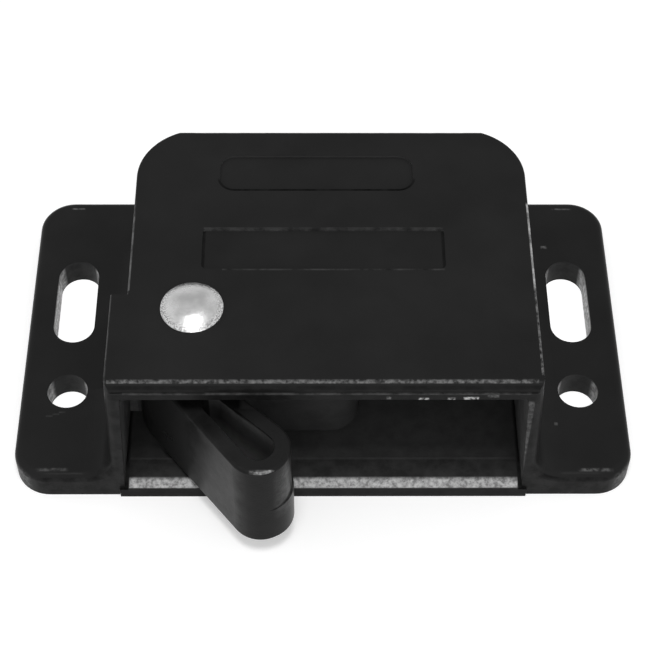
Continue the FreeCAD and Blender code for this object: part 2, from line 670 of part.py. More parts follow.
def make_lever():
    """The claw: finger, inner arm and hub in one moulding, with the crank lug behind and a
    small moulding step low on the finger's tip."""
    body = new_body("lever")
    tip_x = "(Sizes.finger_reach * cos(Sizes.finger_angle))"
    tip_y = "(-Sizes.finger_reach * sin(Sizes.finger_angle))"
    tip = "Sizes.finger_tip_radius"
    flare = f"(asin((Sizes.shoulder_radius - {tip}) / Sizes.finger_reach) / 1 deg)"
    outer_angle = f"(Sizes.finger_angle - {flare})"
    inner_angle = "Sizes.finger_inner_angle"
    middle_angle = f"(({outer_angle} + {inner_angle}) / 2)"
    inner_offset = f"({tip} - Sizes.finger_reach * sin(Sizes.finger_angle - {inner_angle}))"
    half = "Sizes.arm_half_width"
    root_x = f"(({inner_offset} + {half} * cos({inner_angle})) / sin({inner_angle}))"
    throat_run = f"(Sizes.throat_radius / tan({inner_angle} / 2))"
    shoulder = "Sizes.shoulder_angle"

    claw = sketch_on(body, "claw_outline", "XY_Plane", LEVER_BOTTOM)
    add_outline(claw, [
        (f"-Sizes.shoulder_radius * sin({outer_angle})",
         f"-Sizes.shoulder_radius * cos({outer_angle})"),
        (f"{tip_x} - {tip} * sin({outer_angle})", f"{tip_y} - {tip} * cos({outer_angle})",
         tip, 1),
        (f"{tip_x} + {tip} * cos({middle_angle})", f"{tip_y} - {tip} * sin({middle_angle})",
         tip, 1),
        (f"{tip_x} + {tip} * sin({inner_angle})", f"{tip_y} + {tip} * cos({inner_angle})"),
        (f"{root_x} + {throat_run} * cos({inner_angle})",
         f"-{half} - {throat_run} * sin({inner_angle})", "Sizes.throat_radius", -1),
        (f"{root_x} + {throat_run}", f"-{half}"),
        ("Sizes.arm_reach", f"-{half}", half, 1),
        (f"Sizes.arm_reach + {half}", "0", half, 1),
        ("Sizes.arm_reach", half),
        ("0", half),
        (f"{half} * cos({shoulder})", f"{half} * sin({shoulder})"),
        (f"Sizes.shoulder_radius * cos({shoulder})", f"Sizes.shoulder_radius * sin({shoulder})",
         "Sizes.shoulder_radius", 1),
    ])
    add_pad(body, "claw", claw, LEVER_HEIGHT)
    low = value_of(LEVER_BOTTOM)
    high = value_of(LEVER_TOP)
    round_edges(body, "claw_rim", "Sizes.lever_edge_round",
                lambda edge: is_flat_at(edge, low) or is_flat_at(edge, high))

    step = sketch_on(body, "tip_step_outline", "XY_Plane",
                     f"{LEVER_BOTTOM} + Sizes.lever_edge_round")
    add_circle(step, f"{tip_x} + Sizes.tip_step_width * cos(Sizes.tip_step_angle)",
               f"{tip_y} + Sizes.tip_step_width * sin(Sizes.tip_step_angle)", tip)
    add_pad(body, "tip_step", step, "Sizes.tip_step_height")

    hub = sketch_on(body, "hub_outline", "XY_Plane", LEVER_BOTTOM)
    add_circle(hub, "0", "0", "Sizes.hub_radius")
    add_pad(body, "hub", hub, LEVER_HEIGHT)

    lug = sketch_on(body, "crank_lug_outline", "XY_Plane", LEVER_BOTTOM,
                    f"{QUARTER_TURN} - {HALF_TRAVEL}")
    add_outline(lug, capsule("0", "Sizes.crank_radius", "Sizes.crank_lug_radius"))
    add_pad(body, "crank_lug", lug, LEVER_HEIGHT)

    neck = sketch_on(body, "hub_neck_outline", "XY_Plane", LEVER_BOTTOM)
    add_circle(neck, "0", "0", "Sizes.hub_neck_radius")
    add_pad(body, "hub_neck", neck,
            f"{ROOF_UNDERSIDE} - Sizes.hub_neck_gap - {LEVER_BOTTOM}")

    slot_half = "(Sizes.spring_radius + Sizes.groove_clearance)"
    slot = sketch_on(body, "guide_slot_outline", "XY_Plane",
                     f"{SPRING_AXIS} + {slot_half}")
    add_circle(slot, CRANK_X, CRANK_Y, "Sizes.crank_lug_radius + Sizes.groove_clearance")
    cut_pocket(body, "guide_slot", slot, f"2 * {slot_half}")

    core_depth = f"({LEVER_HEIGHT} - Sizes.lever_floor)"
    wall = "Sizes.lever_wall"
    core = sketch_on(body, "finger_core_outline", "XY_Plane", LEVER_TOP)
    back_x = f"(Sizes.finger_pocket_length * cos({middle_angle}))"
    back_y = f"(Sizes.finger_pocket_length * sin({middle_angle}))"
    spread = f"(({outer_angle} - {inner_angle}) / 2)"
    tip_core = f"({tip} - {wall})"
    root_core = f"({tip_core} - Sizes.finger_pocket_length * sin({spread}))"
    rear_x = f"({tip_x} - {back_x})"
    rear_y = f"({tip_y} + {back_y})"
    add_outline(core, [
        (f"{rear_x} - {root_core} * sin({outer_angle})",
         f"{rear_y} - {root_core} * cos({outer_angle})"),
        (f"{tip_x} - {tip_core} * sin({outer_angle})",
         f"{tip_y} - {tip_core} * cos({outer_angle})", tip_core, 1),
        (f"{tip_x} + {tip_core} * cos({middle_angle})",
         f"{tip_y} - {tip_core} * sin({middle_angle})", tip_core, 1),
        (f"{tip_x} + {tip_core} * sin({inner_angle})",
         f"{tip_y} + {tip_core} * cos({inner_angle})"),
        (f"{rear_x} + {root_core} * sin({inner_angle})",
         f"{rear_y} + {root_core} * cos({inner_angle})", root_core, 1),
    ])
    cut_pocket(body, "finger_core", core, core_depth)

    arm_core = sketch_on(body, "arm_core_outline", "XY_Plane", LEVER_TOP)
    core_radius = f"({half} - {wall})"
    add_outline(arm_core, capsule("Sizes.arm_reach - Sizes.arm_pocket_length",
                                  "Sizes.arm_pocket_length", core_radius))
    cut_pocket(body, "arm_core", arm_core, core_depth)

    bores = sketch_on(body, "pivot_bore_outline", "XY_Plane", ROOF_UNDERSIDE)
    add_circle(bores, "0", "0", "Sizes.rivet_shank_radius + Sizes.running_clearance")
    cut_pocket(body, "pivot_bore", bores)

    pin_bore = sketch_on(body, "pin_bore_outline", "XY_Plane", LEVER_TOP)
    add_circle(pin_bore, CRANK_X, CRANK_Y, "Sizes.crank_pin_radius")
    cut_pocket(body, "pin_bore", pin_bore, PIN_LENGTH)

    place(body, PIVOT_X, PIVOT_Y)
    return body


def make_pivot_rivet():
    """Domed head on the roof, shank through the lever, end rolled over the washer."""
    body = new_body("pivot_rivet")
    profile = sketch_on(body, "rivet_profile", "XZ_Plane")
    top = "Sizes.housing_height"
    washer_bottom = "(Sizes.rivet_recess_depth - Sizes.washer_thickness)"
    roll_bottom = f"({washer_bottom} - Sizes.rivet_roll_height)"
    dome = "(Sizes.rivet_head_height - Sizes.rivet_head_edge)"
    dome_radius = f"((Sizes.rivet_head_radius^2 + {dome}^2) / (2 * {dome}))"
    add_outline(profile, [
        ("0", f"{roll_bottom} + Sizes.rivet_bore_depth"),
        ("Sizes.rivet_bore_radius", f"{roll_bottom} + Sizes.rivet_bore_depth"),
        ("Sizes.rivet_bore_radius", f"{roll_bottom} + Sizes.rivet_roll_height / 2",
         "Sizes.rivet_roll_height / 2", -1),
        ("Sizes.rivet_bore_radius + Sizes.rivet_roll_height / 2", roll_bottom),
        ("Sizes.rivet_roll_radius - Sizes.rivet_roll_height", roll_bottom,
         "Sizes.rivet_roll_height", 1),
        ("Sizes.rivet_roll_radius", washer_bottom),
        ("Sizes.rivet_shank_radius", washer_bottom),
        ("Sizes.rivet_shank_radius", top),
        ("Sizes.rivet_head_radius", top),
        ("Sizes.rivet_head_radius", f"{top} + Sizes.rivet_head_edge", dome_radius, 1),
        ("0", f"{top} + Sizes.rivet_head_height"),
    ])
    revolve(body, "rivet", profile, "V_Axis")
    place(body, PIVOT_X, PIVOT_Y)
    return body


def make_rivet_washer():
    body = new_body("rivet_washer")
    ring = sketch_on(body, "washer_outline", "XY_Plane",
                     "Sizes.rivet_recess_depth - Sizes.washer_thickness")
    add_circle(ring, "0", "0", "Sizes.washer_radius")
    add_circle(ring, "0", "0", "Sizes.rivet_shank_radius + Sizes.running_clearance")
    add_pad(body, "washer", ring, "Sizes.washer_thickness")
    place(body, PIVOT_X, PIVOT_Y)
    return body


def make_crank_pin():
    pin = doc.addObject("Part::Cylinder", "crank_pin")
    pin.Label = "crank_pin"
    pin.setExpression("Radius", "Sizes.crank_pin_radius")
    pin.setExpression("Height", PIN_LENGTH)
    place(pin, f"{PIVOT_X} + {CRANK_X}", f"{PIVOT_Y} + {CRANK_Y}")
    pin.setExpression("Placement.Base.z", f"{LEVER_TOP} - {PIN_LENGTH}")
    return pin


def make_spring_guide():
    """Rod with an eye on the crank pin. It is drawn along +Y and turned to its rest angle."""
    body = new_body("spring_guide")
    profile = sketch_on(body, "rod_profile", "XY_Plane", SPRING_AXIS)
    near = "Sizes.guide_shoulder_from_pin"
    far = f"({near} + Sizes.guide_shoulder_thickness)"
    rod = "Sizes.guide_rod_radius"
    add_outline(profile, [
        ("0", "0"),
        (rod, "0"),
        (rod, near),
        ("Sizes.guide_shoulder_radius", near),
        ("Sizes.guide_shoulder_radius", far),
        (rod, far),
        (rod, f"Sizes.guide_rod_length - {rod}", rod, 1),
        ("0", "Sizes.guide_rod_length"),
    ])
    revolve(body, "rod", profile, "V_Axis")

    low = f"({SPRING_AXIS} - Sizes.guide_eye_height / 2)"
    eye = sketch_on(body, "eye_outline", "XY_Plane", low)
    add_circle(eye, "0", "0", "Sizes.guide_eye_radius")
    add_pad(body, "eye", eye, "Sizes.guide_eye_height")
    bore = sketch_on(body, "eye_bore_outline", "XY_Plane", "Sizes.housing_height")
    add_circle(bore, "0", "0", "Sizes.crank_pin_radius + Sizes.running_clearance")
    cut_pocket(body, "eye_bore", bore)
    place(body, f"{PIVOT_X} + {CRANK_X}", f"{PIVOT_Y} + {CRANK_Y}", ROD_ANGLE)
    return body


def make_toggle_spring():
    """Coil spring on the rod, between the guide's shoulder and the swivelling seat."""
    body = new_body("toggle_spring")
    start = "(Sizes.guide_shoulder_from_pin + Sizes.guide_shoulder_thickness" \
            " + Sizes.spring_end_gap + Sizes.spring_wire / 2)"
    finish = f"({CRANK_TO_ANCHOR} - Sizes.seat_flange_from_axis" \
             " - Sizes.spring_end_gap - Sizes.spring_wire / 2)"
    section = sketch_on(body, "wire_section", "XY_Plane", SPRING_AXIS)
    add_circle(section, "Sizes.spring_radius - Sizes.spring_wire / 2", start,
               "Sizes.spring_wire / 2")
    coil = feature(body, "AdditiveHelix", "coil", section)
    coil.ReferenceAxis = (section, ["V_Axis"])
    coil.Mode = "height-turns-angle"
    coil.setExpression("Height", f"{finish} - {start}")
    coil.setExpression("Turns", "Sizes.spring_turns")
    doc.recompute()
    place(body, f"{PIVOT_X} + {CRANK_X}", f"{PIVOT_Y} + {CRANK_Y}", ROD_ANGLE)
    return body


def make_spring_seat():
    """Swivelling seat: two trunnions on Z, a flange for the spring and a hole for the rod."""
    body = new_body("spring_seat")
    low = f"({SPRING_AXIS} - Sizes.seat_height / 2)"
    pivot = sketch_on(body, "trunnion_outline", "XY_Plane",
                      f"{low} - Sizes.trunnion_length + Sizes.running_clearance")
    add_circle(pivot, "0", "0", "Sizes.trunnion_radius")
    add_pad(body, "trunnions", pivot,
            "Sizes.seat_height + 2 * (Sizes.trunnion_length - Sizes.running_clearance)")
    barrel = sketch_on(body, "barrel_outline", "XY_Plane", low)
    add_circle(barrel, "0", "0", "Sizes.seat_radius")
    add_pad(body, "barrel", barrel, "Sizes.seat_height")

    profile = sketch_on(body, "flange_profile", "XY_Plane", SPRING_AXIS)
    near = "(-Sizes.seat_flange_from_axis)"
    far = f"({near} + Sizes.seat_flange_thickness)"
    neck = "(Sizes.seat_radius - Sizes.running_clearance)"
    add_outline(profile, [
        ("0", near),
        ("Sizes.seat_flange_radius", near),
        ("Sizes.seat_flange_radius", far),
        (neck, far),
        (neck, "0"),
        ("0", "0"),
    ])
    revolve(body, "flange", profile, "V_Axis")

    hole = sketch_on(body, "rod_hole_outline", "XZ_Plane", "Sizes.anchor_distance / 2")
    add_circle(hole, "0", SPRING_AXIS,
               "Sizes.guide_rod_radius + Sizes.seat_rod_clearance")
    cut_pocket(body, "rod_hole", hole)
    place(body, PIVOT_X, ANCHOR_Y, ROD_ANGLE)
    return body


def check_and_write(pieces):
    """Stop on anything that failed, then write each piece to its own file."""
    doc.recompute()
    for item in doc.Objects:
        if "Invalid" in item.State or "Error" in item.State:
            raise RuntimeError(f"{item.Label} failed: {item.State}")
    for piece in pieces:
        if piece.Shape.isNull() or not piece.Shape.isValid():
            raise RuntimeError(f"{piece.Label} has no valid shape")
    os.makedirs("parts", exist_ok=True)
    for piece in pieces:
        piece.Shape.exportStep(os.path.join("parts", f"{piece.Label}.step"))


fill_sheet()
check_and_write([
    make_housing(),
    make_base_plate(),
    make_lever(),
    make_pivot_rivet(),
    make_rivet_washer(),
    make_crank_pin(),
    make_spring_guide(),
    make_toggle_spring(),
    make_spring_seat(),
])
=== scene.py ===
import math

import bpy
from mathutils import Matrix, Vector

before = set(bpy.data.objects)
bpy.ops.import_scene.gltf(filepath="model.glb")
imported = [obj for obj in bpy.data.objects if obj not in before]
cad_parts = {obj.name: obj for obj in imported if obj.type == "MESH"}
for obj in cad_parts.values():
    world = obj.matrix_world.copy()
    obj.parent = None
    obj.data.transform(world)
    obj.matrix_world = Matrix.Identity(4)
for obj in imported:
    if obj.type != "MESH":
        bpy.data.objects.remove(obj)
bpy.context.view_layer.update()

MM = 0.001
IMAGE_WIDTH = 650

# Camera, fitted to the outlines of the flange, the roof and the holes.
SENSOR_WIDTH = 36.0
FOCAL_LENGTH_PIXELS = 1757.0
CAMERA_ELEVATION = math.radians(53.0)
CAMERA_YAW = math.radians(0.684)
CAMERA_ROLL = math.radians(0.52)
CAMERA_DISTANCE = 222.9 * MM
LOOK_AT = Vector((0.32, 12.60, 0.15)) * MM
NEAR_CLIP = 0.01
FAR_CLIP = 20.0

# Square lamps in front of the part: elevation in degrees, distance and size in metres, watts.
# The key lamp stands where the rivet's dome shows it.
KEY_LAMP = (78.0, 0.5, 0.12, 1.05)
FILL_LAMP = (18.0, 0.5, 0.3, 0.3)

# The room's light, dimmer towards one direction: full outside a cone, dim inside a smaller one.
ROOM_STRENGTH = 0.6
DIM_STRENGTH = 0.45
DIM_DIRECTION = (0.0, 0.6, 0.8)
DIM_INNER = math.cos(math.radians(24))
DIM_OUTER = math.cos(math.radians(44))

# Floor: its size in metres, its drop below the part in mm, its tone, and how much is added to what
# the camera sees of it, at large, and as painted light in two boxes around the holes where the
# part shades it.
FLOOR_SIZE = 4.0
FLOOR_DROP = 0.02
PAPER_TONE = 0.79
PAPER_LIFT = 0.35
HOLES_PAINTED_LIFT = 0.6
LEFT_HOLES_BOX = ((-34.0, -27.8), (-3.0, 20.6), None)
RIGHT_HOLES_BOX = ((27.8, 34.0), (-3.0, 20.6), None)
HOLES_BOX_EDGE = 0.3

# Materials: sizes of their blotches in mm, and how far tone and roughness swing.
PLASTIC_PATCHES = 9.0
PLASTIC_GRAIN = 0.22
METAL_PATCHES = 2.0
METAL_DENTS = 0.35
RIM_PITS = 0.16
TONE_SWING = 0.12
ROUGHNESS_SWING = 0.06
BUMP_STRENGTH = 0.6
BESIDE_EDGE = 0.04

# The rivet's axis, and the turn about it that points the finger along -Y.
PIVOT = Vector((-14.74, -1.91, 0)) * MM
FINGER_TURN = math.radians(-26.9)

# Holes and slots, in mm: how far they are from the middle, and the Y of the round holes and of the
# slots' back ends. Their walls with painted reflections of the floor lie a little inside their
# edges.
HOLES_X = 30.87
HOLE_BACKS_Y = (0, 17.58)
HOLE_SIDE = 2.25
SLOT_SIDE = 2.45

# Panels on the roof: middle in X and Y, width, height and corner radius, in mm.
FRONT_PANEL = (0.0, 6.87, 27.9, 5.95, 0.6)
REAR_PANEL = (-0.78, 18.6, 22.85, 5.3, 1.8)


def make_camera():
    """The camera that looks down on the mouth, as in the photo."""
    pitch = CAMERA_ELEVATION
    yaw = CAMERA_YAW
    roll = CAMERA_ROLL
    forward = Vector((math.sin(yaw) * math.cos(pitch), math.cos(yaw) * math.cos(pitch),
                      -math.sin(pitch)))
    level = Vector((math.cos(yaw), -math.sin(yaw), 0))
    above = level.cross(forward)
    right = math.cos(roll) * level + math.sin(roll) * above
    up = math.cos(roll) * above - math.sin(roll) * level
    data = bpy.data.cameras.new("camera")
    data.sensor_width = SENSOR_WIDTH
    data.lens = FOCAL_LENGTH_PIXELS / IMAGE_WIDTH * SENSOR_WIDTH
    data.clip_start = NEAR_CLIP
    data.clip_end = FAR_CLIP
    camera = bpy.data.objects.new("camera", data)
    bpy.context.scene.collection.objects.link(camera)
    place = LOOK_AT - forward * CAMERA_DISTANCE
    camera.matrix_world = Matrix((
        (right.x, up.x, -forward.x, place.x),
        (right.y, up.y, -forward.y, place.y),
        (right.z, up.z, -forward.z, place.z),
        (0, 0, 0, 1)))
    bpy.context.scene.camera = camera


def add_lamp(name, elevation, distance, size, power):
    """A soft square lamp in front of the part, aimed at its middle."""
    data = bpy.data.lights.new(name, "AREA")
    data.shape = "SQUARE"
    data.size = size
    data.energy = power
    lamp = bpy.data.objects.new(name, data)
    bpy.context.scene.collection.objects.link(lamp)
    rise = math.radians(elevation)
    lamp.location = Vector((0, -math.cos(rise), math.sin(rise))) * distance
    lamp.rotation_mode = "QUATERNION"
    lamp.rotation_quaternion = (-lamp.location).to_track_quat("-Z", "Y")


def add_room():
    """A pale room that is dimmer above and behind the part, and white to the camera."""
    world = bpy.data.worlds.new("studio")
    world.use_nodes = True
    tree = world.node_tree
    tree.nodes.clear()
    direction = add_node(tree, "ShaderNodeTexCoord").outputs["Generated"]
    towards_dim = add_node(tree, "ShaderNodeVectorMath", {0: direction, 1: DIM_DIRECTION},
                           operation="DOT_PRODUCT").outputs["Value"]
    strength = spread(tree, towards_dim, DIM_OUTER, DIM_INNER, ROOM_STRENGTH, DIM_STRENGTH)
    room = add_node(tree, "ShaderNodeBackground", {"Color": (1, 1, 1, 1), "Strength": strength})
    screen = add_node(tree, "ShaderNodeBackground", {"Color": (1, 1, 1, 1), "Strength": 1.0})
    path = add_node(tree, "ShaderNodeLightPath")
    mix = add_node(tree, "ShaderNodeMixShader",
                   {0: path.outputs["Is Camera Ray"], 1: room.outputs[0], 2: screen.outputs[0]})
    add_node(tree, "ShaderNodeOutputWorld", {"Surface": mix.outputs[0]})
    bpy.context.scene.world = world


def add_node(tree, kind, inputs=None, **settings):
    """A shader node with its settings, and with its inputs set or linked."""
    made = tree.nodes.new(kind)
    for name, value in settings.items():
        setattr(made, name, value)
    for name, value in (inputs or {}).items():
        socket = made.inputs[name]
        if isinstance(value, bpy.types.NodeSocket):
            tree.links.new(value, socket)
        else:
            socket.default_value = value
    return made


def new_material(name):
    """An empty node material and its tree."""
    made = bpy.data.materials.new(name)
    made.use_nodes = True
    made.node_tree.nodes.clear()
    return made, made.node_tree


def noise(tree, where, size, detail, roughness=0.5):
    """Noise whose blotches are about size across, in metres."""
    return add_node(tree, "ShaderNodeTexNoise", {
        "Vector": where, "Scale": 1 / size, "Detail": detail,
        "Roughness": roughness}).outputs["Fac"]


def spread(tree, value, low, high, out_low, out_high):
    """Map a value's range to another one and hold it there."""
    return add_node(tree, "ShaderNodeMapRange", {
        "Value": value, "From Min": low, "From Max": high, "To Min": out_low,
        "To Max": out_high}, clamp=True).outputs["Result"]


def maths(tree, operation, first, second=0.0):
    """One step of arithmetic; the second value counts only where the operation takes two."""
    return add_node(tree, "ShaderNodeMath", {0: first, 1: second},
                    operation=operation).outputs["Value"]


def grey(tree, level):
    """A colour without hue."""
    return add_node(tree, "ShaderNodeCombineColor", {0: level, 1: level, 2: level}).outputs[0]


def between(tree, value, low, high, soft):
    """1 from low to high, in metres, and falling to 0 over soft beyond either end."""
    share = None
    if low is not None:
        share = spread(tree, value, low - soft, low, 0.0, 1.0)
    if high is not None:
        fall = spread(tree, value, high, high + soft, 1.0, 0.0)
        share = fall if share is None else maths(tree, "MULTIPLY", share, fall)
    return share


def region(tree, where, limits, soft):
    """1 inside a box given in mm as (low, high) pairs along X, Y and Z, or None for no limit.

    The edge is soft over as many mm, given once or for each axis."""
    softness = soft if isinstance(soft, tuple) else (soft, soft, soft)
    axes = add_node(tree, "ShaderNodeSeparateXYZ", {"Vector": where}).outputs
    share = 1.0
    for axis, pair, edge in zip(axes, limits, softness):
        if pair is None:
            continue
        low, high = (None if end is None else end * MM for end in pair)
        share = maths(tree, "MULTIPLY", share, between(tree, axis, low, high, edge * MM))
    return share


def panel_distance(tree, where, panel):
    """Distance outwards from the edge of a round-cornered panel, in metres."""
    middle_x, middle_y, width, height, corner = (size * MM for size in panel)
    axes = add_node(tree, "ShaderNodeSeparateXYZ", {"Vector": where}).outputs
    past = []
    for axis, middle, half in ((axes[0], middle_x, width / 2), (axes[1], middle_y, height / 2)):
        offset = maths(tree, "ABSOLUTE", maths(tree, "SUBTRACT", axis, middle))
        past.append(maths(tree, "SUBTRACT", offset, half - corner))
    inside = maths(tree, "MINIMUM", maths(tree, "MAXIMUM", past[0], past[1]), 0.0)
    squares = [maths(tree, "POWER", maths(tree, "MAXIMUM", way, 0.0), 2.0) for way in past]
    outside = maths(tree, "SQRT", maths(tree, "ADD", squares[0], squares[1]))
    return maths(tree, "SUBTRACT", maths(tree, "ADD", inside, outside), corner)


class Mark:
    """A place on a moulding with a tone of its own: worn or dusty, or painted with light, shade, a
    highlight or a reflection.

    limits and soft: its box and the width of the box's soft edge, as region() takes them
    tones: the darkest and the palest tone of its speckle
    size: the speckle's size in mm
    roughness: how matte the place is
    along_finger: whether the box is for the finger turned to point along -Y
    beside: a panel and the nearest and farthest distance outwards from its edge, in mm"""

    def __init__(self, limits, soft, tones, size, roughness, along_finger=False, beside=None):
        self.limits = limits
        self.soft = soft
        self.tones = tones
        self.size = size
        self.roughness = roughness
        self.along_finger = along_finger
        self.beside = beside

    def share(self, tree, where, turned):
        """1 in the marked place and 0 elsewhere."""
        share = region(tree, turned if self.along_finger else where, self.limits, self.soft)
        if self.beside:
            panel, near, far = self.beside
            band = between(tree, panel_distance(tree, where, panel), near * MM, far * MM,
                           BESIDE_EDGE * MM)
            share = maths(tree, "MULTIPLY", share, band)
        return share


def moulded_plastic(name, tone, roughness, marks=()):
    """Black moulded plastic with a faint grain, uneven tone and the marks laid over it, which hold
    wear and dust and also painted light, shade, highlights and reflections.
    """
    made, tree = new_material(name)
    where = add_node(tree, "ShaderNodeTexCoord").outputs["Object"]
    patches = noise(tree, where, PLASTIC_PATCHES * MM, detail=4)
    grain = noise(tree, where, PLASTIC_GRAIN * MM, detail=3)
    level = spread(tree, patches, 0.3, 0.7, tone * (1 - TONE_SWING), tone * (1 + TONE_SWING))
    rough = spread(tree, patches, 0.3, 0.7, roughness - ROUGHNESS_SWING,
                   roughness + ROUGHNESS_SWING)
    turned = add_node(tree, "ShaderNodeVectorRotate", {
        "Vector": where, "Center": PIVOT, "Angle": FINGER_TURN},
        rotation_type="Z_AXIS").outputs["Vector"]
    for mark in marks:
        share = mark.share(tree, where, turned)
        speckle = noise(tree, where, mark.size * MM, detail=4, roughness=0.65)
        # the mark's tone, which at many marks is painted light, shade, a highlight or a reflection
        mark_tone = spread(tree, speckle, 0.38, 0.62, *mark.tones)
        level = spread(tree, share, 0.0, 1.0, level, mark_tone)
        rough = spread(tree, share, 0.0, 1.0, rough, mark.roughness)
    bump = add_node(tree, "ShaderNodeBump", {
        "Strength": BUMP_STRENGTH, "Distance": 0.02 * MM, "Height": grain})
    shader = add_node(tree, "ShaderNodeBsdfPrincipled", {
        "Base Color": grey(tree, level), "Roughness": rough,
        "Normal": bump.outputs["Normal"], "Specular IOR Level": 0.05})
    add_node(tree, "ShaderNodeOutputMaterial", {"Surface": shader.outputs[0]})
    return made


def scratched_aluminium(name, tone, roughness, rim=None):
    """Bare metal with a faintly hammered face, and pitted from rim mm off the pivot outwards."""
    made, tree = new_material(name)
    where = add_node(tree, "ShaderNodeTexCoord").outputs["Object"]
    patches = noise(tree, where, METAL_PATCHES * MM, detail=4)
    dents = noise(tree, where, METAL_DENTS * MM, detail=3)
    rough = spread(tree, patches, 0.3, 0.7, roughness - ROUGHNESS_SWING,
                   roughness + ROUGHNESS_SWING)
    level = spread(tree, patches, 0.35, 0.65, tone * 0.86, tone * 1.05)
    if rim:
        flat = add_node(tree, "ShaderNodeVectorMath", {0: where, 1: (1, 1, 0)},
                        operation="MULTIPLY").outputs["Vector"]
        away = add_node(tree, "ShaderNodeVectorMath", {0: flat, 1: PIVOT},
                        operation="DISTANCE").outputs["Value"]
        pits = noise(tree, where, RIM_PITS * MM, detail=3)
        pitted = spread(tree, pits, 0.4, 0.6, tone * 0.45, tone * 1.15)
        share = spread(tree, away, (rim - 0.35) * MM, (rim + 0.25) * MM, 0.0, 1.0)
        level = spread(tree, share, 0.0, 1.0, level, pitted)
    bump = add_node(tree, "ShaderNodeBump", {
        "Strength": BUMP_STRENGTH, "Distance": 0.05 * MM, "Height": dents})
    shader = add_node(tree, "ShaderNodeBsdfPrincipled", {
        "Base Color": grey(tree, level), "Metallic": 1.0, "Roughness": rough,
        "Normal": bump.outputs["Normal"]})
    add_node(tree, "ShaderNodeOutputMaterial", {"Surface": shader.outputs[0]})
    return made


def make_floor():
    """White paper just under the part, with painted light in the holes where the part shades it,
    and clear when seen from below.
    """
    bpy.ops.mesh.primitive_plane_add(size=FLOOR_SIZE, location=(0, 0, -FLOOR_DROP * MM))
    floor = bpy.context.object
    floor.name = "floor"
    made, tree = new_material("floor_paper")
    path = add_node(tree, "ShaderNodeLightPath")
    paper = add_node(tree, "ShaderNodeBsdfDiffuse",
                     {"Color": (PAPER_TONE, PAPER_TONE, PAPER_TONE, 1)})
    where = add_node(tree, "ShaderNodeTexCoord").outputs["Object"]
    left = region(tree, where, LEFT_HOLES_BOX, HOLES_BOX_EDGE)
    right = region(tree, where, RIGHT_HOLES_BOX, HOLES_BOX_EDGE)
    strength = spread(tree, maths(tree, "ADD", left, right), 0.0, 1.0, PAPER_LIFT, HOLES_PAINTED_LIFT)
    lift = add_node(tree, "ShaderNodeEmission", {"Color": (1, 1, 1, 1), "Strength": strength})
    nothing = add_node(tree, "ShaderNodeEmission", {"Strength": 0.0})
    seen = maths(tree, "ADD", path.outputs["Is Camera Ray"], path.outputs["Is Glossy Ray"])
    share = add_node(tree, "ShaderNodeMixShader",
                     {0: seen, 1: nothing.outputs[0], 2: lift.outputs[0]})
    both = add_node(tree, "ShaderNodeAddShader", {0: paper.outputs[0], 1: share.outputs[0]})
    below = add_node(tree, "ShaderNodeNewGeometry").outputs["Backfacing"]
    clear = add_node(tree, "ShaderNodeBsdfTransparent")
    whole = add_node(tree, "ShaderNodeMixShader",
                     {0: below, 1: both.outputs[0], 2: clear.outputs[0]})
    add_node(tree, "ShaderNodeOutputMaterial", {"Surface": whole.outputs[0]})
    floor.data.materials.append(made)


def dress(node, material):
    """Give a CAD node's mesh one material."""
    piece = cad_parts[node]
    if not piece.data.materials:
        piece.data.materials.append(material)
    for slot in piece.material_slots:
        slot.material = material


def inside_marks():
    """Painted light inside the housing, painted shade on the faces of the mouth, and the mouth's
    rubbed right edge.
    """
    return [
        # painted light: the housing's inside, and its inner walls still more, paled where shade
        # falls, as if lit
        Mark(((-21.3, 23.2), (-12.0, 14.0), (1.0, 19.7)), 0.15, (0.05, 0.08), 2.0, 0.5),
        Mark(((-23.2, -21.3), (-12.0, -1.2), (1.0, 19.7)), 0.15, (0.05, 0.08), 2.0, 0.5),
        Mark(((22.4, 23.3), (-11.9, 5.0), (1.0, 19.5)), 0.1, (0.08, 0.12), 2.0, 0.5),
        Mark(((-23.3, -22.4), (-11.9, -1.2), (1.0, 19.5)), 0.1, (0.08, 0.12), 2.0, 0.5),
        # painted shade: the walls' front faces, the lip's lower band and the lip's face darkened
        # where they would show the lit floor
        Mark((None, (None, -12.15), (0.2, 19.4)), 0.1, (0.007, 0.018), 1.5, 0.4),
        Mark((None, (None, -12.15), (19.5, 20.6)), 0.05, (0.007, 0.011), 1.5, 0.4),
        Mark((None, (None, -11.9), (20.85, 21.8)), 0.1, (0.008, 0.013), 1.5, 0.4),
        # the mouth's rubbed right edge
        Mark(((22.3, 23.1), (None, -12.15), (3.0, 19.2)), 0.15, (0.025, 0.1), 0.5, 0.4),
    ]


def lip_and_roof_marks():
    """Painted highlights: on the lip's scuffed top edge, on its fine ledge, and along the roof's
    edges, right, left and back.
    """
    return [
        # painted highlight along the lip's top edge, over some real scuffing
        Mark(((-23.6, 23.3), (None, -11.5), (22.03, None)), (0.1, 0.2, 0.05), (0.015, 0.14),
             0.5, 0.35),
        # painted highlight on the lip's fine ledge
        Mark(((-22.0, 22.6), (None, -12.1), (20.6, 20.82)), 0.06, (0.02, 0.06), 1.2, 0.4),
        # painted highlights along the roof's right, left and back edges
        Mark(((23.75, None), (1.0, 13.5), (22.0, 22.33)), (0.04, 0.4, 0.04), (0.1, 0.45), 1.5,
             0.35),
        Mark(((23.75, None), (-10.5, 1.0), (22.0, 22.33)), (0.04, 0.4, 0.04), (0.01, 0.16), 0.6,
             0.35),
        Mark(((None, -21.9), (0.8, 14.0), (22.0, 22.33)), 0.04, (0.03, 0.12), 1.5, 0.35),
        Mark(((None, -23.85), (-12.0, 0.3), (22.0, 22.33)), 0.04, (0.02, 0.06), 1.5, 0.35),
        Mark(((-14.5, 16.0), (24.95, None), (22.0, None)), (1.0, 0.1, 0.05), (0.03, 0.16), 1.2,
             0.4),
    ]


